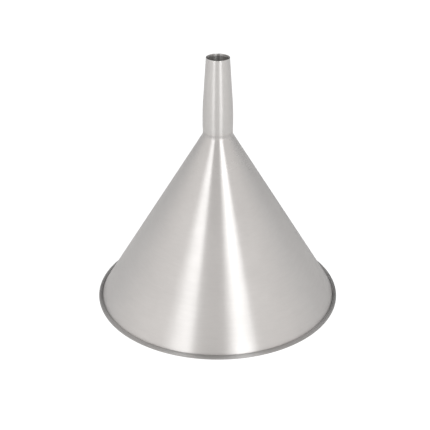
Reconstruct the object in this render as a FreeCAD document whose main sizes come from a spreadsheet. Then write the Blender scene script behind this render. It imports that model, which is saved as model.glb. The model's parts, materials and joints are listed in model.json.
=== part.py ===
# Kitchen funnel of satin stainless sheet, standing on its mouth with the spout up.
#
# It is made the way such a funnel is made. A cone is drawn and spun from one disc: its wide edge is
# curled outwards into a hollow bead, and its narrow edge is turned up into a short collar. The spout
# is a piece of thin seam-welded tube whose outer two thirds are swaged to a taper. A ring weld joins
# collar and spout and is ground nearly flush outside, which leaves a faint dip round the neck.
#
# Millimetres and degrees. Z is the axis of the funnel, z = 0 is the plane that the bead rests on,
# and the spout's long seam faces +Y.
import FreeCAD, Part
import math
import os

import Sketcher

DIMENSIONS = [
    ("mouth_diameter", 150.0, "over the bead"),
    ("total_height", 155.0, "from the bead's underside to the spout's tip"),
    ("sheet_thickness", 0.6, "of the cone and of the spout"),
    ("bead_diameter", 2.5, "of the curled edge, outside"),
    ("curl_end_angle", 147.0, "where the curl's cut edge faces, from the outward horizontal"),
    ("neck_diameter", 17.7, "of the cone's collar, outside"),
    ("neck_height", 109.4, "where the cone's wall has turned upright"),
    ("neck_bend_radius", 4.0, "of the hollow between cone and collar, outside"),
    ("collar_length", 1.0, "of the upright collar"),
    ("weld_width", 0.8, "of the ring weld, along the axis"),
    ("weld_dip", 0.08, "how far grinding has dished the ring weld"),
    ("weld_root", 0.15, "how far weld metal stands proud inside the neck"),
    ("root_diameter", 17.9, "of the spout's straight part, outside"),
    ("root_flare_length", 2.0, "over which the spout's cut end was closed in to meet the collar"),
    ("root_length", 5.5, "of the spout's straight part"),
    ("taper_blend_radius", 150.0, "between the straight part and the taper, outside"),
    ("tip_diameter", 13.74, "of the spout's tip, outside"),
    ("tip_edge_radius", 0.15, "of the deburred edges at the tip"),
    ("seam_angle", 5.0, "that the spout's long weld takes of the circle"),
    ("seam_root", 0.1, "how far the long weld stands proud inside the spout"),
]

SPOUT_START = "Sizes.neck_height + Sizes.collar_length + Sizes.weld_width"
START, END, CENTRE = 1, 2, 3
FULL_TURN = 360.0
DEGREE = math.pi / 180


def on_circle(centre, radius, angle):
    """The point of a circle at an angle in degrees."""
    return (
        centre[0] + radius * math.cos(angle * DEGREE),
        centre[1] + radius * math.sin(angle * DEGREE),
    )


def make_sheet(doc):
    """The spreadsheet that every sketch and feature reads its sizes from."""
    sheet = doc.addObject("Spreadsheet::Sheet", "Sizes")
    for row, (alias, value, meaning) in enumerate(DIMENSIONS, 1):
        sheet.set(f"A{row}", alias)
        sheet.set(f"B{row}", str(value))
        sheet.set(f"C{row}", meaning)
        sheet.setAlias(f"B{row}", alias)
    doc.recompute()
    return sheet


def origin_plane(body, role):
    return next(f for f in body.Origin.OriginFeatures if f.Role == role)


class Profile:
    """A closed sketch on a plane that holds the Z axis: x is the distance from the axis, y the height."""

    def __init__(self, body, name, plane="XZ_Plane", side=1):
        self.sketch = body.newObject("Sketcher::SketchObject", name)
        self.sketch.AttachmentSupport = (origin_plane(body, plane), [""])
        self.sketch.MapMode = "FlatFace"
        self.side = side

    def point(self, x, y):
        return FreeCAD.Vector(self.side * x, y, 0)

    def line(self, start, end):
        return self.sketch.addGeometry(Part.LineSegment(self.point(*start), self.point(*end)), False)

    def arc(self, centre, radius, first, last):
        """A circular arc that runs anticlockwise from one angle to another, in degrees."""
        if self.side < 0:
            first, last = 180 - last, 180 - first
        circle = Part.Circle(self.point(*centre), FreeCAD.Vector(0, 0, 1), radius)
        return self.sketch.addGeometry(Part.ArcOfCircle(circle, first * DEGREE, last * DEGREE), False)

    def arc_ends(self):
        """Which end of an arc is drawn first on this side of the axis."""
        return (START, END) if self.side > 0 else (END, START)

    def rule(self, kind, *references):
        self.sketch.addConstraint(Sketcher.Constraint(kind, *references))

    def meet(self, first, first_end, second, second_end):
        self.rule("Coincident", first, first_end, second, second_end)

    def flow(self, first, first_end, second, second_end):
        """Joins two ends and makes them tangent."""
        self.rule("Tangent", first, first_end, second, second_end)

    def bind(self, name, formula, kind, value, *references):
        """A named dimension whose value follows the spreadsheet."""
        index = self.sketch.addConstraint(Sketcher.Constraint(kind, *references, value))
        self.sketch.renameConstraint(index, name)
        self.sketch.setExpression(f"Constraints.{name}", formula)

    def radius(self, name, formula, geometry):
        self.bind(name, formula, "Radius", self.sketch.Geometry[geometry].Radius, geometry)

    def across(self, name, formula, geometry, end):
        """Distance from the axis to a point."""
        x = self.sketch.getPoint(geometry, end).x
        if x < 0:
            formula = f"-({formula})"
        self.bind(name, formula, "DistanceX", x, geometry, end)

    def height(self, name, formula, geometry, end):
        self.bind(name, formula, "DistanceY", self.sketch.getPoint(geometry, end).y, geometry, end)


def turn(body, name, profile, angle="360"):
    """Revolves a profile about the Z axis, evenly to both sides of its own plane."""
    feature = body.newObject("PartDesign::Revolution", name)
    feature.Profile = profile.sketch
    feature.ReferenceAxis = (profile.sketch, ["V_Axis"])
    feature.Midplane = True
    feature.setExpression("Angle", angle)
    profile.sketch.Visibility = False
    return feature


def make_body(doc, label):
    body = doc.addObject("PartDesign::Body", label)
    body.Label = label
    return body


def cone_shell(doc, size):
    """The cone with its curled bead and its collar, one unbroken sheet."""
    body = make_body(doc, "cone_shell")
    profile = Profile(body, "cone_section")
    wall = size["sheet_thickness"]
    neck = size["neck_diameter"] / 2
    turn_up = size["neck_height"]
    collar_top = turn_up + size["collar_length"]
    bend = size["neck_bend_radius"]
    bead = size["bead_diameter"] / 2
    hollow = bead - wall
    bead_at = (size["mouth_diameter"] / 2 - bead, bead)
    bend_at = (neck + bend, turn_up)
    # A first guess at the wall's lean: the tangencies below settle it.
    lean = math.degrees(math.atan2(bead_at[0] - neck, turn_up))
    facing_in = 180 + lean

    curl_end = size["curl_end_angle"] + FULL_TURN
    collar_out = profile.line((neck, collar_top), (neck, turn_up))
    bend_out = profile.arc(bend_at, bend, 180, facing_in)
    cone_out = profile.line(
        on_circle(bend_at, bend, facing_in), on_circle(bead_at, hollow, facing_in)
    )
    curl_in = profile.arc(bead_at, hollow, facing_in, curl_end)
    cut_edge = profile.line(
        on_circle(bead_at, hollow, curl_end), on_circle(bead_at, bead, curl_end)
    )
    curl_out = profile.arc(bead_at, bead, facing_in, curl_end)
    cone_in = profile.line(
        on_circle(bead_at, bead, facing_in), on_circle(bend_at, bend + wall, facing_in)
    )
    bend_in = profile.arc(bend_at, bend + wall, 180, facing_in)
    collar_in = profile.line((neck - wall, turn_up), (neck - wall, collar_top))
    top = profile.line((neck - wall, collar_top), (neck, collar_top))

    profile.rule("Vertical", collar_out)
    profile.rule("Vertical", collar_in)
    profile.rule("Horizontal", top)
    profile.flow(collar_out, END, bend_out, START)
    profile.flow(bend_out, END, cone_out, START)
    profile.flow(cone_out, END, curl_in, START)
    profile.meet(curl_in, END, cut_edge, START)
    profile.meet(cut_edge, END, curl_out, END)
    profile.flow(curl_out, START, cone_in, START)
    profile.flow(cone_in, END, bend_in, END)
    profile.flow(bend_in, START, collar_in, START)
    profile.meet(collar_in, END, top, START)
    profile.meet(top, END, collar_out, START)
    profile.meet(curl_in, CENTRE, curl_out, CENTRE)
    profile.meet(bend_in, CENTRE, bend_out, CENTRE)
    profile.rule("PointOnObject", curl_in, CENTRE, cut_edge)

    profile.across("neck_radius", "Sizes.neck_diameter / 2", collar_out, START)
    profile.height("collar_top", "Sizes.neck_height + Sizes.collar_length", collar_out, START)
    profile.height("turned_upright", "Sizes.neck_height", bend_out, CENTRE)
    profile.radius("bend_outside", "Sizes.neck_bend_radius", bend_out)
    profile.radius("bend_inside", "Sizes.neck_bend_radius + Sizes.sheet_thickness", bend_in)
    profile.radius("bead_outside", "Sizes.bead_diameter / 2", curl_out)
    profile.radius("bead_hollow", "Sizes.bead_diameter / 2 - Sizes.sheet_thickness", curl_in)
    profile.across(
        "bead_centre", "(Sizes.mouth_diameter - Sizes.bead_diameter) / 2", curl_out, CENTRE
    )
    profile.height("bead_lift", "Sizes.bead_diameter / 2", curl_out, CENTRE)
    profile.bind(
        "cut_edge_faces",
        "Sizes.curl_end_angle * 1 deg",
        "Angle",
        size["curl_end_angle"] * DEGREE,
        cut_edge,
    )
    turn(body, "spun_cone", profile)
    return body


def spout_face(profile, size, label, inset=0.0, inset_formula=None):
    """One face of the spout's wall in section, from root to tip, inset from the outside surface.
    Returns its first and last line."""

    def less_inset(formula):
        return f"{formula} - {inset_formula}" if inset_formula else formula

    neck = size["neck_diameter"] / 2 - inset
    root = size["root_diameter"] / 2 - inset
    tip = size["tip_diameter"] / 2 - inset
    blend = size["taper_blend_radius"] - inset
    start = size["neck_height"] + size["collar_length"] + size["weld_width"]
    straight_from = start + size["root_flare_length"]
    straight_to = straight_from + size["root_length"]
    # A first guess at the taper: the tangencies below settle it.
    taper = math.degrees(math.atan2(root - tip, size["total_height"] - straight_to))
    bend_at = (root - blend, straight_to)

    flare = profile.line((neck, start), (root, straight_from))
    straight = profile.line((root, straight_from), (root, straight_to))
    bow = profile.arc(bend_at, blend, 0, taper)
    slope = profile.line(on_circle(bend_at, blend, taper), (tip, size["total_height"]))

    low, high = profile.arc_ends()
    profile.rule("Vertical", straight)
    profile.meet(flare, END, straight, START)
    profile.flow(straight, END, bow, low)
    profile.flow(bow, high, slope, START)

    profile.across(f"{label}_neck", less_inset("Sizes.neck_diameter / 2"), flare, START)
    profile.across(f"{label}_root", less_inset("Sizes.root_diameter / 2"), straight, START)
    profile.across(f"{label}_tip", less_inset("Sizes.tip_diameter / 2"), slope, END)
    profile.radius(f"{label}_blend", less_inset("Sizes.taper_blend_radius"), bow)
    flare_top = f"{SPOUT_START} + Sizes.root_flare_length"
    profile.height(f"{label}_start", SPOUT_START, flare, START)
    profile.height(f"{label}_flare_top", flare_top, straight, START)
    profile.height(f"{label}_bend", f"{flare_top} + Sizes.root_length", straight, END)
    return flare, slope


def spout_section(body, name, size, side, top_formula, proud=None):
    """The spout's wall in section on one side of the axis. proud is the dimension by which its inside
    stands proud of the sheet."""
    profile = Profile(body, name, "YZ_Plane", side)
    thickness = size["sheet_thickness"]
    formula = "Sizes.sheet_thickness"
    if proud:
        thickness += size[proud]
        formula = f"({formula} + Sizes.{proud})"
    outer = spout_face(profile, size, "outer")
    inner = spout_face(profile, size, "inner", thickness, formula)
    for outer_line, inner_line, end in ((outer[0], inner[0], START), (outer[1], inner[1], END)):
        corners = [profile.sketch.getPoint(line, end) for line in (inner_line, outer_line)]
        across = profile.sketch.addGeometry(Part.LineSegment(*corners), False)
        profile.meet(across, START, inner_line, end)
        profile.meet(across, END, outer_line, end)
    profile.height("outer_top", top_formula, outer[1], END)
    profile.height("inner_top", top_formula, inner[1], END)
    return profile


def spout_tube(doc, size):
    """The spout: sheet rolled round until its edges nearly meet at +Y, then swaged to its taper."""
    body = make_body(doc, "spout_tube")
    section = spout_section(body, "spout_section", size, -1, "Sizes.total_height")
    rolled = turn(body, "rolled_tube", section, f"{FULL_TURN} - Sizes.seam_angle")
    doc.recompute()
    top = size["total_height"] - 0.001
    rims = [
        f"Edge{number}"
        for number, edge in enumerate(rolled.Shape.Edges, 1)
        if edge.BoundBox.ZMin > top and edge.Curve.TypeId == "Part::GeomCircle"
    ]
    deburr = body.newObject("PartDesign::Fillet", "deburred_tip")
    deburr.Base = (rolled, rims)
    deburr.setExpression("Radius", "Sizes.tip_edge_radius")
    return body


def spout_seam_weld(doc, size):
    """The weld metal that closes the spout's long seam: flush outside, a low bead inside."""
    body = make_body(doc, "spout_seam_weld")
    top_formula = "Sizes.total_height - Sizes.tip_edge_radius"
    section = spout_section(body, "seam_section", size, 1, top_formula, "seam_root")
    turn(body, "seam_strip", section, "Sizes.seam_angle")
    return body


def neck_weld(doc, size):
    """The ring weld between collar and spout: dished by grinding outside, a rounded root inside."""
    body = make_body(doc, "neck_weld")
    profile = Profile(body, "weld_section")
    outside = size["neck_diameter"] / 2
    inside = outside - size["sheet_thickness"]
    low = size["neck_height"] + size["collar_length"]
    high = low + size["weld_width"]
    half = size["weld_width"] / 2

    def bulge(depth):
        """Radius and half angle of the arc that rises by depth over the weld's width."""
        radius = (half**2 + depth**2) / (2 * depth)
        return radius, math.degrees(math.asin(half / radius))

    dish, dish_half = bulge(size["weld_dip"])
    root, root_half = bulge(size["weld_root"])
    middle = low + half
    bottom = profile.line((inside, low), (outside, low))
    ground = profile.arc(
        (outside - size["weld_dip"] + dish, middle), dish, 180 - dish_half, 180 + dish_half
    )
    cap = profile.line((outside, high), (inside, high))
    bead = profile.arc(
        (inside - size["weld_root"] + root, middle), root, 180 - root_half, 180 + root_half
    )
    profile.rule("Horizontal", bottom)
    profile.rule("Horizontal", cap)
    profile.meet(bottom, END, ground, END)
    profile.meet(ground, START, cap, START)
    profile.meet(cap, END, bead, START)
    profile.meet(bead, END, bottom, START)
    profile.rule("Vertical", ground, START, ground, END)
    profile.rule("Vertical", bead, START, bead, END)
    profile.across("outside", "Sizes.neck_diameter / 2", bottom, END)
    profile.across("inside", "Sizes.neck_diameter / 2 - Sizes.sheet_thickness", bottom, START)
    profile.height("foot", "Sizes.neck_height + Sizes.collar_length", bottom, END)
    profile.height("crown", "Sizes.neck_height + Sizes.collar_length + Sizes.weld_width", cap, START)
    for name, rise, geometry in (("dish", "weld_dip", ground), ("root", "weld_root", bead)):
        arc_radius = f"((Sizes.weld_width / 2) ^ 2 + Sizes.{rise} ^ 2) / (2 * Sizes.{rise})"
        profile.radius(f"{name}_radius", arc_radius, geometry)
    turn(body, "weld_ring", profile)
    return body


def check(doc):
    """Stops on any object that failed to compute, and on any sketch that is left loose."""
    for item in doc.Objects:
        if {"Invalid", "Error"} & set(item.State):
            raise RuntimeError(f"{item.Label} failed: {item.State}")
        if item.TypeId == "Sketcher::SketchObject" and not item.FullyConstrained:
            raise RuntimeError(f"{item.Label} isn't fully constrained")


def export(bodies):
    os.makedirs("parts", exist_ok=True)
    for body in bodies:
        shape = body.Shape
        if shape.isNull() or not shape.isValid() or len(shape.Solids) != 1:
            raise RuntimeError(f"{body.Label} isn't one sound solid")
        shape.exportStep(f"parts/{body.Label}.step")
        box = shape.optimalBoundingBox()
        print(
            f"{body.Label}: {shape.Volume:.1f} mm3, {box.XLength:.2f} by {box.YLength:.2f} across, "
            f"z {box.ZMin:.2f} to {box.ZMax:.2f}"
        )


def main():
    doc = FreeCAD.newDocument("funnel")
    sheet = make_sheet(doc)
    size = {alias: float(sheet.get(alias)) for alias, _, _ in DIMENSIONS}
    bodies = [build(doc, size) for build in (cone_shell, spout_tube, neck_weld, spout_seam_weld)]
    doc.recompute()
    check(doc)
    export(bodies)


main()
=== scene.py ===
import json
import math

import bpy
from mathutils import Matrix, Vector, noise


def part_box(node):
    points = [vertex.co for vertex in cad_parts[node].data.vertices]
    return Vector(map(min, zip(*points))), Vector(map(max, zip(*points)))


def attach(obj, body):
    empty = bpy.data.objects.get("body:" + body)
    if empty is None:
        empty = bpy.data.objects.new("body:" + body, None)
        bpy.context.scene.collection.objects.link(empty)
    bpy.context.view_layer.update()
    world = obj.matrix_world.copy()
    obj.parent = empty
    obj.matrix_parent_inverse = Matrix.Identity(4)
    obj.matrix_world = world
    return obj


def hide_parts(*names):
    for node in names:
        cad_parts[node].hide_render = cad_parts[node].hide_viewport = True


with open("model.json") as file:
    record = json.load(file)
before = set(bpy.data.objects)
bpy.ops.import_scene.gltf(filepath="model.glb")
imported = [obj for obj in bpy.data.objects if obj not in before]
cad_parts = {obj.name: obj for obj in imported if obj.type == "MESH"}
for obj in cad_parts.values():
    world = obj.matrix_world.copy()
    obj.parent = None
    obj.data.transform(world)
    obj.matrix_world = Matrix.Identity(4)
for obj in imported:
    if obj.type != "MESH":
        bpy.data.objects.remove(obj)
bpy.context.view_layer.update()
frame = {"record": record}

# A spun funnel of satin stainless sheet, standing on its mouth with the spout up, and a small studio
# round it. Metres. Z is the funnel's axis and z = 0 is the plane that its bead rests on. The spout's
# long seam faces +Y, and the camera stands on the other side, at -Y. Sections are drawn in (r, z):
# r is the distance from the axis.

bl_info = {
    "name": "Steel Funnel",
    "version": (1, 0, 0),
    "blender": (4, 5, 0),
    "location": "View3D > Sidebar > Funnel",
    "description": "Builds the visible pieces of a spun steel funnel round its packed frame, and a studio",
    "category": "Object",
}

MM = 0.001
BODY = "root"
TURN = math.tau
WELD_LOW, WELD_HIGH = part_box("neck_weld")
SPOUT_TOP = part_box("spout_tube")[1].z
ROOT = next(mount for mount in frame["record"]["mounts"] if mount["name"] == "spout_root")
ROOT_RADIUS = ROOT["dims"]["r_mm"] * MM
ROOT_HALF_LENGTH = ROOT["dims"]["length_mm"] * MM / 2

# What stands proud inside: the ring weld's root and the long weld's.
RING_ROOT = 0.15 * MM
SEAM_ROOT = 0.1 * MM

# Strength of the plain white that the camera sees behind and under the funnel.
CLEAN_WHITE = 1.1

# The upright softboxes. Azimuth in degrees from -Y towards +X, then metres: how far away, the heights of
# the lower and upper edge, the width. Last comes brightness. A wing is dimmer and narrower than its
# softbox, and softens that softbox's left edge. The rear one gives the back some contrast.
SOFTBOXES = (
    ("left_softbox", -34, 1.15, 0.25, 2.0, 0.38, 1.1),
    ("left_softbox_wing", -47, 1.15, 0.25, 2.0, 0.14, 0.48),
    ("right_softbox", 26, 1.15, 0.25, 2.0, 0.38, 1.65),
    ("right_softbox_wing", 13.5, 1.15, 0.25, 2.0, 0.12, 0.6),
    ("rear_softbox", 180, 1.5, 0.95, 2.4, 0.42, 1.1),
)
LAMP_COLOUR = (0.955, 0.985, 1.0)


# ---------------------------------------------------------------- what a user would change


class FunnelSizes(bpy.types.PropertyGroup):
    """The funnel's sizes. Those that the frame holds are read from it."""

    mouth_radius: bpy.props.FloatProperty(
        name="Mouth radius", description="Over the bead", default=0.075, unit="LENGTH"
    )
    sheet: bpy.props.FloatProperty(
        name="Sheet", description="Thickness of the sheet", default=0.6 * MM, unit="LENGTH"
    )
    bead_radius: bpy.props.FloatProperty(
        name="Bead radius", description="Of the curled edge's section", default=1.25 * MM, unit="LENGTH"
    )
    curl_end: bpy.props.FloatProperty(
        name="Curl end",
        description="Where the curl's cut edge faces, from the outward horizontal",
        default=math.radians(147),
        subtype="ANGLE",
    )
    neck_radius: bpy.props.FloatProperty(
        name="Neck radius", description="Of the cone's collar, outside", default=WELD_HIGH.x, unit="LENGTH"
    )
    collar_length: bpy.props.FloatProperty(
        name="Collar length", description="Upright part under the weld", default=1.0 * MM, unit="LENGTH"
    )
    neck_bend: bpy.props.FloatProperty(
        name="Neck bend", description="Radius of the hollow between cone and collar", default=4.0 * MM,
        unit="LENGTH",
    )
    root_radius: bpy.props.FloatProperty(
        name="Root radius", description="Of the spout's straight part", default=ROOT_RADIUS, unit="LENGTH"
    )
    tip_radius: bpy.props.FloatProperty(
        name="Tip radius", description="Of the spout's tip, outside", default=6.87 * MM, unit="LENGTH"
    )
    taper_blend: bpy.props.FloatProperty(
        name="Taper blend", description="Radius between straight part and taper", default=0.15,
        unit="LENGTH",
    )
    seam_angle: bpy.props.FloatProperty(
        name="Seam angle", description="That the long weld takes of the circle",
        default=math.radians(5), subtype="ANGLE",
    )
    weld_dip: bpy.props.FloatProperty(
        name="Weld dip", description="How far grinding has dished the ring weld", default=0.045 * MM,
        unit="LENGTH",
    )
    edge_ease: bpy.props.FloatProperty(
        name="Edge ease", description="Radius of the deburred edges", default=0.15 * MM, unit="LENGTH"
    )
    steps_round: bpy.props.IntProperty(
        name="Steps round", description="Faces in one turn", default=288, min=24
    )


class FunnelFinish(bpy.types.PropertyGroup):
    """Colour and surface of the steel."""

    steel: bpy.props.FloatVectorProperty(
        name="Steel", description="Colour of the cone's satin steel", default=(0.640, 0.621, 0.608),
        subtype="COLOR", size=3, min=0, max=1,
    )
    spout_steel: bpy.props.FloatVectorProperty(
        name="Spout steel", description="Colour of the spout's satin steel",
        default=(0.660, 0.645, 0.631), subtype="COLOR", size=3, min=0, max=1,
    )
    streak: bpy.props.FloatProperty(
        name="Streaks", description="How much brighter the polishing streaks are", default=0.04, min=0,
        max=1, subtype="FACTOR",
    )
    weld: bpy.props.FloatVectorProperty(
        name="Weld metal", description="Colour of the ground welds", default=(0.630, 0.608, 0.592),
        subtype="COLOR", size=3, min=0, max=1,
    )
    inside: bpy.props.FloatVectorProperty(
        name="Inside steel", description="Colour of the inside, which nobody has polished",
        default=(0.520, 0.508, 0.490), subtype="COLOR", size=3, min=0, max=1,
    )
    # Painted shade: the spout's inside, and the weld roots in it, are coloured darker for the shade inside
    # the narrow tube.
    spout_inside_painted_shade: bpy.props.FloatVectorProperty(
        name="Inside of the spout", description="Colour of the spout's inside, darker again",
        default=(0.340, 0.332, 0.321), subtype="COLOR", size=3, min=0, max=1,
    )
    inside_roughness: bpy.props.FloatProperty(
        name="Inside roughness", description="Of the unpolished inside", default=0.5, min=0, max=1,
        subtype="FACTOR",
    )
    neck_polish: bpy.props.FloatProperty(
        name="Neck polish", description="How much less rough the cone is at its neck", default=0.06,
        min=0, max=1, subtype="FACTOR",
    )
    # Painted shade: darkens the cone's colour towards its neck.
    painted_neck_shade: bpy.props.FloatProperty(
        name="Painted neck shade", description="How much darker the cone's steel is at its neck", default=0.14,
        min=0, max=1, subtype="FACTOR",
    )
    bead_dulling: bpy.props.FloatProperty(
        name="Bead dulling", description="How much rougher the rolled bead is than the wall",
        default=0.16, min=0, max=1, subtype="FACTOR",
    )
    # Painted shade: the bead's darker colour stands in for the shaded floor that the bead mirrors next to
    # the rim.
    bead: bpy.props.FloatVectorProperty(
        name="Bead painted shade", description="Colour of the rolled bead, duller than the wall",
        default=(0.520, 0.506, 0.497), subtype="COLOR", size=3, min=0, max=1,
    )
    roughness: bpy.props.FloatProperty(
        name="Roughness", description="Middle roughness of the satin grain", default=0.34, min=0, max=1,
        subtype="FACTOR",
    )


class FunnelStudio(bpy.types.PropertyGroup):
    """Camera, room, lamps and floor."""

    camera_place: bpy.props.FloatVectorProperty(
        name="Camera place", description="Where the camera stands", default=(-0.00166, -0.540, 0.3387),
        subtype="TRANSLATION", size=3,
    )
    camera_pitch: bpy.props.FloatProperty(
        name="Camera pitch", description="How far the camera looks down", default=math.radians(27.77),
        subtype="ANGLE",
    )
    camera_lens: bpy.props.FloatProperty(
        name="Lens", description="Focal length in millimetres on a 36 mm sensor", default=83.55
    )
    floor_size: bpy.props.FloatProperty(
        name="Floor size", description="Side of the square floor", default=8.0, unit="LENGTH"
    )
    floor_colour: bpy.props.FloatVectorProperty(
        name="Floor colour", description="That the funnel mirrors", default=(0.95, 0.95, 0.95),
        subtype="COLOR", size=3, min=0, max=1,
    )
    rig_turn: bpy.props.FloatProperty(
        name="Rig turn", description="How far the room's bright side is turned round the funnel",
        default=math.radians(-7), subtype="ANGLE",
    )
    room: bpy.props.FloatProperty(
        name="Room", description="Brightness of the room beside the funnel", default=1.0
    )
    room_front: bpy.props.FloatProperty(
        name="Room front", description="How much brighter the room is towards the camera", default=0.42
    )
    room_gap: bpy.props.FloatProperty(
        name="Room gap", description="How much darker it is between the two softboxes", default=0.24,
        subtype="FACTOR",
    )
    ceiling: bpy.props.FloatProperty(
        name="Ceiling", description="Brightness overhead, as a share of the room's", default=0.3,
        subtype="FACTOR",
    )


# ---------------------------------------------------------------- sections


def polar(centre, radius, angle):
    """The point (r, z) of a circle at an angle from the outward horizontal."""
    return centre[0] + radius * math.cos(angle), centre[1] + radius * math.sin(angle)


def arc(centre, radius, first, last, count):
    """Points along an arc, both ends included."""
    return [polar(centre, radius, first + (last - first) * i / count) for i in range(count + 1)]


def straight(start, end, count, hold=0.12 * MM):
    """Points inside a straight run, with one held close to each end so that the shading stays flat."""
    length = math.dist(start, end)
    shares = [hold / length, *(i / count for i in range(1, count)), 1 - hold / length]
    return [tuple(a + (b - a) * share for a, b in zip(start, end)) for share in shares]


def eased_end(first, last, outward, ease, count=4):
    """The end of a sheet from its face at first to its face at last, with both corners rounded."""
    across = Vector(last) - Vector(first)
    across.normalize()
    outward = Vector(outward).normalized()
    points = []
    for corner, side, start in ((Vector(first), 1, -across), (Vector(last), -1, outward)):
        centre = corner + side * ease * across - ease * outward
        turn_to = outward if side > 0 else across
        for i in range(count + 1):
            swing = math.pi / 2 * i / count
            spoke = start * math.cos(swing) + turn_to * math.sin(swing)
            points.append(tuple(centre + ease * spoke))
    return points


def tangent_facing(centre_a, radius_a, centre_b, radius_b):
    """The direction that a straight line faces when it touches both circles on their inner side."""
    along = Vector(centre_b) - Vector(centre_a)
    heading = math.atan2(along.y, along.x)
    return heading - math.acos((radius_a - radius_b) / along.length) + TURN


def cone_section(sizes):
    """The cone's sheet in section: its outside from collar to curled bead, and its inside back up."""
    sheet, bead = sizes.sheet, sizes.bead_radius
    collar_top = WELD_LOW.z
    turned_up = collar_top - sizes.collar_length
    bend_at = (sizes.neck_radius + sizes.neck_bend, turned_up)
    bead_at = (sizes.mouth_radius - bead, bead)
    hollow = bead - sheet
    facing = tangent_facing(bend_at, sizes.neck_bend, bead_at, hollow)
    curl_end = sizes.curl_end + TURN
    ease = sizes.edge_ease
    wall_rows, curl_steps = 44, 40

    outer_bend = arc(bend_at, sizes.neck_bend, math.pi, facing, 10)
    inside_curl = arc(bead_at, hollow, facing, curl_end - ease / hollow, curl_steps)
    outside_curl = arc(bead_at, bead, curl_end - ease / bead, facing, curl_steps + 12)
    inner_bend = arc(bend_at, sizes.neck_bend + sheet, facing, math.pi, 10)
    cut_edge = eased_end(
        polar(bead_at, hollow, curl_end),
        polar(bead_at, bead, curl_end),
        (-math.sin(curl_end), math.cos(curl_end)),
        ease,
    )
    outside = [
        (sizes.neck_radius, collar_top),
        *outer_bend,
        *straight(outer_bend[-1], inside_curl[0], wall_rows),
        *inside_curl,
        *cut_edge,
        *outside_curl,
    ]
    inside = [
        *straight(outside_curl[-1], inner_bend[0], wall_rows),
        *inner_bend,
        (sizes.neck_radius - sheet, collar_top),
    ]
    return outside, inside


def spout_face(sizes, inset):
    """One face of the spout from root to tip: closed in at its foot, straight, then tapered."""
    foot, top = WELD_HIGH.z, SPOUT_TOP
    straight_from = ROOT["pos_m"][2] - ROOT_HALF_LENGTH
    straight_to = ROOT["pos_m"][2] + ROOT_HALF_LENGTH
    root = sizes.root_radius - inset
    blend = sizes.taper_blend - inset
    bend_at = (root - blend, straight_to)
    to_tip = Vector((sizes.tip_radius - inset, top)) - Vector(bend_at)
    taper = math.atan2(to_tip.y, to_tip.x) - math.acos(blend / to_tip.length)

    neck = sizes.neck_radius - inset
    flare_rows = 8
    flare = []
    for i in range(flare_rows):
        share = i / flare_rows
        swell = share * share * (3 - 2 * share)
        flare.append((neck + (root - neck) * swell, foot + (straight_from - foot) * share))
    upright = [(root, straight_from + (straight_to - straight_from) * i / 6) for i in range(6)]
    bow = arc(bend_at, blend, 0, taper, 10)
    tip = (sizes.tip_radius - inset, top)
    slope_rows = 20
    slope = [
        tuple(a + (b - a) * i / slope_rows for a, b in zip(bow[-1], tip)) for i in range(1, slope_rows)
    ]
    return flare + upright + bow + slope


def spout_section(sizes, proud=0.0, stop_short=0.0):
    """The spout's sheet in section: up the outside and over the deburred tip, and down the inside."""
    outer = spout_face(sizes, 0)
    inner = spout_face(sizes, sizes.sheet + proud)
    top = SPOUT_TOP - stop_short
    tip = eased_end(
        (sizes.tip_radius, top),
        (sizes.tip_radius - sizes.sheet - proud, top),
        (0, 1),
        sizes.edge_ease,
    )
    return outer + tip, inner[::-1]


def weld_section(sizes):
    """The ring weld in section: its dished outside, and its rounded root inside."""
    low, high = WELD_LOW.z, WELD_HIGH.z
    outside = sizes.neck_radius
    inside = outside - sizes.sheet
    rows = 10
    shares = [i / rows for i in range(rows + 1)]
    dish = [
        (outside - sizes.weld_dip * math.sin(math.pi * s) ** 2, low + (high - low) * s) for s in shares
    ]
    root = [
        (inside - RING_ROOT * math.sin(math.pi * s), high + (low - high) * s) for s in shares
    ]
    return dish, root


# ---------------------------------------------------------------- turned meshes


def place(radius, angle, z):
    """A point at an angle round the axis, measured from the seam at +Y."""
    return Vector((radius * math.sin(angle), radius * math.cos(angle), z))


def turned(name, outside, inside, steps, first=0.0, sweep=TURN, shift=None):
    """Turns a closed section about the axis. shift moves a point in or out by (radius, angle, z).
    The faces of its inside take the second material."""
    section = outside + inside
    closed = math.isclose(sweep, TURN)
    rings = steps if closed else steps + 1
    verts = []
    for i in range(rings):
        angle = first + sweep * i / steps
        for radius, z in section:
            moved = radius + (shift(radius, angle, z) if shift else 0)
            verts.append(place(moved, angle, z))
    size = len(section)
    faces = []
    finishes = []
    for i in range(steps):
        near, far = i * size, (i + 1) % rings * size
        for j in range(size):
            k = (j + 1) % size
            faces.append((near + j, far + j, far + k, near + k))
            finishes.append(1 if len(outside) <= j < size - 1 else 0)
    if not closed:
        faces.append(tuple(range(size)))
        faces.append(tuple(reversed(range((rings - 1) * size, rings * size))))
    mesh = bpy.data.meshes.new(name)
    mesh.from_pydata(verts, [], faces)
    for face, finish in zip(mesh.polygons, finishes):
        face.material_index = finish
    mesh.shade_smooth()
    mesh.set_sharp_from_angle(angle=math.radians(35))
    mesh.validate()
    piece = bpy.data.objects.new(name, mesh)
    bpy.context.scene.collection.objects.link(piece)
    return piece


def hand_of_the_maker(reach, depth, seed):
    """A slow unevenness of a spun or linished wall: depth is its amplitude, reach its wavelength."""

    def shift(radius, angle, z):
        spot = place(radius, angle, z) / reach + Vector((seed, 0, 0))
        return depth * noise.noise(spot)

    return shift


def finish_piece(piece, node, outside, inside):
    """Gives a piece its two materials and ties it to the frame."""
    piece.data.materials.append(outside)
    piece.data.materials.append(inside)
    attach(piece, BODY)
    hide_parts(node)


# ---------------------------------------------------------------- shader building


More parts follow.
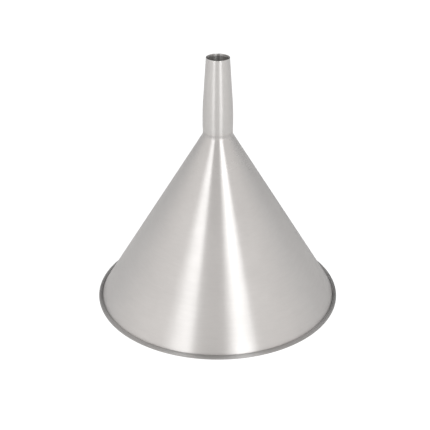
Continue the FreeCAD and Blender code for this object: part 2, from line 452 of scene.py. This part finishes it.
def add(tree, kind, **settings):
    """Adds a node. Settings that name an input set or link it; the others set properties."""
    node = tree.nodes.new(kind)
    inputs = {}
    for key, value in settings.items():
        if hasattr(node, key):
            setattr(node, key, value)
        else:
            inputs[key] = value
    for key, value in inputs.items():
        socket = node.inputs[int(key[1:])] if key[0] == "i" and key[1:].isdigit() else None
        socket = socket or node.inputs[key.replace("_", " ")]
        if isinstance(value, bpy.types.NodeSocket):
            tree.links.new(value, socket)
        else:
            socket.default_value = value
    return node


def sums(tree, operation, *values):
    """A math node's result."""
    return add(
        tree, "ShaderNodeMath", operation=operation, **{f"i{i}": v for i, v in enumerate(values)}
    ).outputs[0]


def new_group(name, inputs, outputs):
    """A shader node group with its sockets, given as (name, kind, default) and (name, kind)."""
    tree = bpy.data.node_groups.new(name, "ShaderNodeTree")
    for title, kind, default in inputs:
        socket = tree.interface.new_socket(title, in_out="INPUT", socket_type=f"NodeSocket{kind}")
        if default is not None:
            socket.default_value = default
    for title, kind in outputs:
        tree.interface.new_socket(title, in_out="OUTPUT", socket_type=f"NodeSocket{kind}")
    return tree, tree.nodes.new("NodeGroupInput").outputs, tree.nodes.new("NodeGroupOutput").inputs


def grain_group():
    """Fine turned grain: long thin streaks that run round the axis."""
    tree, given, made = new_group(
        "Turned grain",
        [
            ("Lines per mm", "Float", 5.0),
            ("Streaks round", "Float", 7.0),
            ("Lean", "Float", 0.0),
        ],
        [("Grain", "Float"), ("Streak", "Float")],
    )
    coordinates = add(tree, "ShaderNodeTexCoord").outputs["Object"]
    split = add(tree, "ShaderNodeSeparateXYZ", Vector=coordinates)
    x, y, z = split.outputs
    flat = add(tree, "ShaderNodeCombineXYZ", X=x, Y=y).outputs[0]
    radius = add(tree, "ShaderNodeVectorMath", operation="LENGTH", i0=flat).outputs["Value"]
    rise = sums(tree, "MULTIPLY", z, sums(tree, "COSINE", given["Lean"]))
    run = sums(tree, "MULTIPLY", radius, sums(tree, "SINE", given["Lean"]))
    along = sums(tree, "MULTIPLY", sums(tree, "SUBTRACT", rise, run), 1 / MM)
    around_x = sums(tree, "MULTIPLY", sums(tree, "DIVIDE", x, radius), given["Streaks round"])
    around_y = sums(tree, "MULTIPLY", sums(tree, "DIVIDE", y, radius), given["Streaks round"])
    lines = sums(tree, "MULTIPLY", along, given["Lines per mm"])
    fine = add(
        tree, "ShaderNodeTexNoise", Scale=1.0, Detail=3.0, Roughness=0.7,
        Vector=add(tree, "ShaderNodeCombineXYZ", X=around_x, Y=around_y, Z=lines).outputs[0],
    )
    coarse_lines = sums(tree, "MULTIPLY", along, 0.55)
    coarse = add(
        tree, "ShaderNodeTexNoise", Scale=1.0, Detail=4.0, Roughness=0.65,
        Vector=add(tree, "ShaderNodeCombineXYZ", X=around_x, Y=around_y, Z=coarse_lines).outputs[0],
    )
    tree.links.new(fine.outputs["Fac"], made["Grain"])
    tree.links.new(coarse.outputs["Fac"], made["Streak"])
    return tree


def scratch_group():
    """Sparse hairline scratches from handling, and soft smudges left by wiping."""
    tree, given, made = new_group(
        "Handling marks",
        [("Amount", "Float", 0.5), ("Smudge size", "Float", 22.0)],
        [("Scratch", "Float"), ("Smudge", "Float")],
    )
    coordinates = add(tree, "ShaderNodeTexCoord").outputs["Object"]
    layers = []
    for heading in ((0.4, 0.2, 0.9), (1.3, -0.5, 0.1), (-0.7, 0.9, 2.1)):
        turned_round = add(
            tree, "ShaderNodeMapping", vector_type="POINT", Vector=coordinates,
            Rotation=heading, Scale=(1600.0, 1600.0, 45.0),
        )
        hair = add(
            tree, "ShaderNodeTexNoise", Vector=turned_round.outputs[0], Scale=1.0, Detail=1.0, Roughness=0.4
        )
        rare = add(
            tree, "ShaderNodeMapRange", Value=hair.outputs["Fac"], interpolation_type="SMOOTHSTEP",
            **{"From Min": 0.74, "From Max": 0.80},
        )
        layers.append(rare.outputs["Result"])
    marks = sums(tree, "MAXIMUM", sums(tree, "MAXIMUM", layers[0], layers[1]), layers[2])
    tree.links.new(sums(tree, "MULTIPLY", marks, given["Amount"]), made["Scratch"])
    per_metre = sums(tree, "DIVIDE", 1.0, sums(tree, "MULTIPLY", given["Smudge size"], MM))
    cloud = add(
        tree, "ShaderNodeTexNoise", Vector=coordinates, Scale=per_metre, Detail=3.0, Roughness=0.55
    )
    tree.links.new(cloud.outputs["Fac"], made["Smudge"])
    return tree


def ranged(tree, value, low, high, start=0.3, end=0.7):
    """Maps a noise value to a range."""
    return add(
        tree, "ShaderNodeMapRange", Value=value,
        **{"From Min": start, "From Max": end, "To Min": low, "To Max": high},
    ).outputs["Result"]


def smooth(tree, value, start, end, low, high):
    """Eases from low to high as a value goes from start to end."""
    return add(
        tree, "ShaderNodeMapRange", Value=value, interpolation_type="SMOOTHSTEP",
        **{"From Min": start, "From Max": end, "To Min": low, "To Max": high},
    ).outputs["Result"]


def mixed(tree, share, first, second):
    """Mixes two colours by a share."""
    node = add(tree, "ShaderNodeMix", data_type="RGBA")
    for socket, value in ((0, share), (6, first), (7, second)):
        if isinstance(value, bpy.types.NodeSocket):
            tree.links.new(value, node.inputs[socket])
        else:
            node.inputs[socket].default_value = value
    return node.outputs[2]


def steel_material(
    name, finish, colour, roughness, lines, streaks, lean, scratches, bump, add_marks=None
):
    """Steel with its grain running round the axis. add_marks may change its colour and roughness."""
    material = bpy.data.materials.new(name)
    material.use_nodes = True
    tree = material.node_tree
    shader = tree.nodes["Principled BSDF"]
    groups = shared_groups()
    grain = add(tree, "ShaderNodeGroup", node_tree=groups["grain"])
    grain.inputs["Lines per mm"].default_value = lines
    grain.inputs["Streaks round"].default_value = streaks
    grain.inputs["Lean"].default_value = lean
    marks = add(tree, "ShaderNodeGroup", node_tree=groups["marks"])
    marks.inputs["Amount"].default_value = scratches

    streak = ranged(tree, grain.outputs["Streak"], 0.0, 1.0)
    base = mixed(tree, streak, (*colour, 1), (*(worn * (1 + finish.streak) for worn in colour), 1))
    wander = 0.015
    satin = ranged(tree, marks.outputs["Smudge"], roughness - wander, roughness + wander)
    rough = sums(tree, "ADD", satin, ranged(tree, grain.outputs["Grain"], -wander, wander))
    rough = sums(tree, "ADD", rough, sums(tree, "MULTIPLY", marks.outputs["Scratch"], 0.05))
    if add_marks:
        base, rough = add_marks(tree, base, rough)
    tree.links.new(base, shader.inputs["Base Color"])
    tree.links.new(rough, shader.inputs["Roughness"])

    height = sums(
        tree, "SUBTRACT", grain.outputs["Grain"], sums(tree, "MULTIPLY", marks.outputs["Scratch"], 0.6)
    )
    relief = add(tree, "ShaderNodeBump", Height=height, Strength=bump, Distance=0.004 * MM)
    tree.links.new(relief.outputs["Normal"], shader.inputs["Normal"])

    shader.inputs["Metallic"].default_value = 1.0
    shader.inputs["Anisotropic"].default_value = 1.0
    shader.inputs["Anisotropic Rotation"].default_value = 0.25
    tangent = add(tree, "ShaderNodeTangent", direction_type="RADIAL", axis="Z")
    tree.links.new(tangent.outputs[0], shader.inputs["Tangent"])
    return material


def inside_material(name, finish, colour, lines):
    """The unpolished inside of the sheet, rougher than the outside."""
    return steel_material(
        name, finish, colour, finish.inside_roughness, lines=lines, streaks=3.0, lean=0.0,
        scratches=0.2, bump=0.8,
    )


def cone_marks(sizes, finish):
    """The cone's own changes: a rougher bead whose darker colour is painted shade, and a neck that is
    polished finer and darkened with painted shade.
    """

    def add_marks(tree, base, rough):
        coordinates = add(tree, "ShaderNodeTexCoord").outputs["Object"]
        x, y, z = add(tree, "ShaderNodeSeparateXYZ", Vector=coordinates).outputs
        flat = add(tree, "ShaderNodeCombineXYZ", X=x, Y=y).outputs[0]
        out = add(tree, "ShaderNodeVectorMath", operation="LENGTH", i0=flat).outputs["Value"]
        inner_edge = sizes.mouth_radius - 1.85 * sizes.bead_radius
        edge_blur = 0.15 * MM
        on_bead = smooth(tree, out, inner_edge, inner_edge + edge_blur, 0.0, 1.0)
        # Painted shade: the bead takes the darker bead colour for the shaded floor it mirrors; the added
        # roughness below is its real dulling.
        base = mixed(tree, on_bead, base, (*finish.bead, 1))
        rough = sums(tree, "MULTIPLY_ADD", on_bead, finish.bead_dulling, rough)
        neck_from = 0.3 * WELD_LOW.z
        near_neck = smooth(tree, z, neck_from, WELD_LOW.z, 0.0, 1.0)
        # Painted shade: the cone's colour is darkened towards the neck; the finer polish below is real.
        base = mixed(tree, sums(tree, "MULTIPLY", near_neck, finish.painted_neck_shade), base, (0, 0, 0, 1))
        return base, sums(tree, "MULTIPLY_ADD", near_neck, -finish.neck_polish, rough)

    return add_marks


def shared_groups():
    """The node groups that every steel uses, made once."""
    found = bpy.data.node_groups
    return {
        "grain": found.get("Turned grain") or grain_group(),
        "marks": found.get("Handling marks") or scratch_group(),
    }


# ---------------------------------------------------------------- one operator for each piece


class FUNNEL_OT_cone(bpy.types.Operator):
    """Makes the spun cone with its collar and its curled bead"""

    bl_idname = "funnel.cone"
    bl_label = "Cone shell"

    def execute(self, context):
        sizes, finish = context.scene.funnel_sizes, context.scene.funnel_finish
        uneven = hand_of_the_maker(reach=38 * MM, depth=0.03 * MM, seed=3.0)
        piece = turned("cone", *cone_section(sizes), sizes.steps_round, shift=uneven)
        steel = steel_material(
            "cone satin", finish, finish.steel, finish.roughness, lines=4.0, streaks=6.0,
            lean=math.radians(31), scratches=0.5, bump=0.5, add_marks=cone_marks(sizes, finish),
        )
        inside = inside_material("cone inside", finish, finish.inside, 3.0)
        finish_piece(piece, "cone_shell", steel, inside)
        return {"FINISHED"}


class FUNNEL_OT_spout(bpy.types.Operator):
    """Makes the rolled and swaged spout, open along its seam"""

    bl_idname = "funnel.spout"
    bl_label = "Spout tube"

    def execute(self, context):
        sizes, finish = context.scene.funnel_sizes, context.scene.funnel_finish
        uneven = hand_of_the_maker(reach=9 * MM, depth=0.025 * MM, seed=7.0)
        piece = turned(
            "spout",
            *spout_section(sizes),
            sizes.steps_round // 2,
            first=sizes.seam_angle / 2,
            sweep=TURN - sizes.seam_angle,
            shift=uneven,
        )
        steel = steel_material(
            "spout satin", finish, finish.spout_steel, finish.roughness, lines=5.0, streaks=3.0,
            lean=0.0, scratches=0.4, bump=0.5,
        )
        # The spout's inside takes the darker colour, which is painted shade.
        inside = inside_material("spout inside", finish, finish.spout_inside_painted_shade, 4.0)
        finish_piece(piece, "spout_tube", steel, inside)
        return {"FINISHED"}


class FUNNEL_OT_neck_weld(bpy.types.Operator):
    """Makes the ground ring weld between cone and spout"""

    bl_idname = "funnel.neck_weld"
    bl_label = "Neck weld"

    def execute(self, context):
        sizes, finish = context.scene.funnel_sizes, context.scene.funnel_finish
        uneven = hand_of_the_maker(reach=2.2 * MM, depth=0.03 * MM, seed=11.0)
        piece = turned("neck_weld_ring", *weld_section(sizes), sizes.steps_round, shift=uneven)
        steel = steel_material(
            "ground weld", finish, finish.weld, finish.roughness, lines=7.0, streaks=4.0,
            lean=0.0, scratches=0.2, bump=0.6,
        )
        # The weld's root inside takes the darker colour, which is painted shade.
        inside = inside_material("weld root", finish, finish.spout_inside_painted_shade, 5.0)
        finish_piece(piece, "neck_weld", steel, inside)
        return {"FINISHED"}


class FUNNEL_OT_seam_weld(bpy.types.Operator):
    """Makes the long weld that closes the spout"""

    bl_idname = "funnel.seam_weld"
    bl_label = "Seam weld"

    def execute(self, context):
        sizes, finish = context.scene.funnel_sizes, context.scene.funnel_finish
        uneven = hand_of_the_maker(reach=1.6 * MM, depth=0.02 * MM, seed=17.0)
        piece = turned(
            "seam_weld_strip",
            *spout_section(sizes, proud=SEAM_ROOT, stop_short=sizes.edge_ease),
            8,
            first=-sizes.seam_angle / 2,
            sweep=sizes.seam_angle,
            shift=uneven,
        )
        steel = steel_material(
            "ground seam", finish, finish.weld, finish.roughness, lines=7.0, streaks=60.0,
            lean=0.0, scratches=0.2, bump=0.6,
        )
        # The seam's root inside takes the darker colour, which is painted shade.
        inside = inside_material("seam root", finish, finish.spout_inside_painted_shade, 5.0)
        finish_piece(piece, "spout_seam_weld", steel, inside)
        return {"FINISHED"}


# ---------------------------------------------------------------- studio


def floor_material(studio, rim):
    """A pale matt floor that the camera sees as clean white, except through the funnel."""
    material = bpy.data.materials.new("pale floor")
    material.use_nodes = True
    tree = material.node_tree
    tree.nodes.clear()
    place_here = add(tree, "ShaderNodeTexCoord").outputs["Object"]
    away = add(tree, "ShaderNodeVectorMath", operation="LENGTH", i0=place_here).outputs["Value"]
    matt = add(tree, "ShaderNodeBsdfDiffuse", Color=(*studio.floor_colour, 1))
    white = add(tree, "ShaderNodeEmission", Color=(1, 1, 1, 1), Strength=CLEAN_WHITE)
    seen = add(tree, "ShaderNodeLightPath").outputs["Is Camera Ray"]
    outside_funnel = sums(tree, "GREATER_THAN", away, 0.9 * rim)
    share = sums(tree, "MULTIPLY", seen, outside_funnel)
    blend = add(tree, "ShaderNodeMixShader", i0=share, i1=matt.outputs[0], i2=white.outputs[0])
    out = add(tree, "ShaderNodeOutputMaterial")
    tree.links.new(blend.outputs[0], out.inputs["Surface"])
    return material


def pale_room(scene, studio):
    """The room's light: brighter towards the camera, dimmer overhead and between the softboxes, dark low
    down behind the funnel, and plain white where the camera sees it."""
    world = bpy.data.worlds.new("pale room")
    world.use_nodes = True
    scene.world = world
    tree = world.node_tree
    tree.nodes.clear()
    way = add(tree, "ShaderNodeTexCoord").outputs["Generated"]
    front = (math.sin(studio.rig_turn), -math.cos(studio.rig_turn), 0)
    right = (math.cos(studio.rig_turn), math.sin(studio.rig_turn), 0)
    ahead = add(tree, "ShaderNodeVectorMath", operation="DOT_PRODUCT", i0=way, i1=front).outputs["Value"]
    height = add(tree, "ShaderNodeSeparateXYZ", Vector=way).outputs["Z"]
    aside = add(tree, "ShaderNodeVectorMath", operation="DOT_PRODUCT", i0=way, i1=right).outputs["Value"]
    off_axis = sums(tree, "ABSOLUTE", sums(tree, "ARCTAN2", aside, ahead))
    gap_from, gap_to = math.radians(12), math.radians(24)
    gap = smooth(tree, off_axis, gap_from, gap_to, 1 - studio.room_gap, 1.0)
    wall = sums(tree, "MULTIPLY", gap, sums(tree, "MULTIPLY_ADD", ahead, studio.room_front, studio.room))
    overhead = smooth(tree, height, 0.70, 0.95, 1.0, studio.ceiling)
    dark_from, dark_to = math.radians(155), math.radians(172)
    behind = smooth(tree, off_axis, dark_from, dark_to, 1.0, 0.0)
    low_behind = smooth(tree, height, 0.5, 0.7, behind, 1.0)
    strength = sums(tree, "MULTIPLY", sums(tree, "MULTIPLY", wall, overhead), low_behind)
    warmth = mixed(tree, smooth(tree, ahead, -0.6, 0.1, 0.0, 1.0), (1, 1, 1, 1), (1, 0.985, 0.972, 1))
    room = add(tree, "ShaderNodeBackground", Color=warmth, Strength=strength)
    white = add(tree, "ShaderNodeBackground", Color=(1, 1, 1, 1), Strength=CLEAN_WHITE)
    seen = add(tree, "ShaderNodeLightPath").outputs["Is Camera Ray"]
    blend = add(tree, "ShaderNodeMixShader", i0=seen, i1=room.outputs[0], i2=white.outputs[0])
    out = add(tree, "ShaderNodeOutputWorld")
    tree.links.new(blend.outputs[0], out.inputs["Surface"])


def softbox(name, azimuth, distance, low, high, width, brightness):
    """An upright softbox that faces the funnel. azimuth is counted from -Y towards +X."""
    lamp = bpy.data.lights.new(name, "AREA")
    lamp.shape = "RECTANGLE"
    lamp.size = width
    lamp.size_y = high - low
    lamp.energy = brightness * math.pi * width * (high - low)
    lamp.color = LAMP_COLOUR
    holder = bpy.data.objects.new(name, lamp)
    bpy.context.scene.collection.objects.link(holder)
    spot = Vector((distance * math.sin(azimuth), -distance * math.cos(azimuth), (low + high) / 2))
    aim = Vector((spot.x, spot.y, 0))
    holder.matrix_world = Matrix.Translation(spot) @ aim.to_track_quat("Z", "Y").to_matrix().to_4x4()
    holder.visible_camera = False


class FUNNEL_OT_studio(bpy.types.Operator):
    """Makes the floor, the lamps and the camera"""

    bl_idname = "funnel.studio"
    bl_label = "Studio"

    def execute(self, context):
        scene = context.scene
        studio = scene.funnel_studio
        half = studio.floor_size / 2
        mesh = bpy.data.meshes.new("floor")
        mesh.from_pydata(
            [(-half, -half, 0), (half, -half, 0), (half, half, 0), (-half, half, 0)], [], [(0, 1, 2, 3)]
        )
        floor = bpy.data.objects.new("floor", mesh)
        scene.collection.objects.link(floor)
        mesh.materials.append(floor_material(studio, scene.funnel_sizes.mouth_radius))

        for name, azimuth, *rest in SOFTBOXES:
            softbox(name, math.radians(azimuth), *rest)
        pale_room(scene, studio)

        lens = bpy.data.cameras.new("camera")
        lens.lens = studio.camera_lens
        lens.sensor_width = 36
        lens.clip_start = 0.01
        camera = bpy.data.objects.new("camera", lens)
        camera.location = studio.camera_place
        camera.rotation_euler = (math.pi / 2 - studio.camera_pitch, 0, 0)
        scene.collection.objects.link(camera)
        scene.camera = camera
        scene.view_settings.view_transform = "Standard"
        return {"FINISHED"}


class FUNNEL_PT_pieces(bpy.types.Panel):
    """Lists the funnel's pieces"""

    bl_idname = "FUNNEL_PT_pieces"
    bl_label = "Steel funnel"
    bl_space_type = "VIEW_3D"
    bl_region_type = "UI"
    bl_category = "Funnel"

    def draw(self, context):
        for operator in OPERATORS:
            self.layout.operator(operator.bl_idname)


GROUPS = {
    "funnel_sizes": FunnelSizes,
    "funnel_finish": FunnelFinish,
    "funnel_studio": FunnelStudio,
}
OPERATORS = (
    FUNNEL_OT_studio,
    FUNNEL_OT_cone,
    FUNNEL_OT_neck_weld,
    FUNNEL_OT_spout,
    FUNNEL_OT_seam_weld,
)


def register():
    for group in (*GROUPS.values(), *OPERATORS, FUNNEL_PT_pieces):
        bpy.utils.register_class(group)
    for name, group in GROUPS.items():
        setattr(bpy.types.Scene, name, bpy.props.PointerProperty(type=group))


def unregister():
    for name in GROUPS:
        delattr(bpy.types.Scene, name)
    for group in (FUNNEL_PT_pieces, *reversed(OPERATORS), *reversed(GROUPS.values())):
        bpy.utils.unregister_class(group)


def main():
    register()
    bpy.ops.funnel.studio()
    bpy.ops.funnel.cone()
    bpy.ops.funnel.neck_weld()
    bpy.ops.funnel.spout()
    bpy.ops.funnel.seam_weld()


if __name__ == "__main__":
    main()
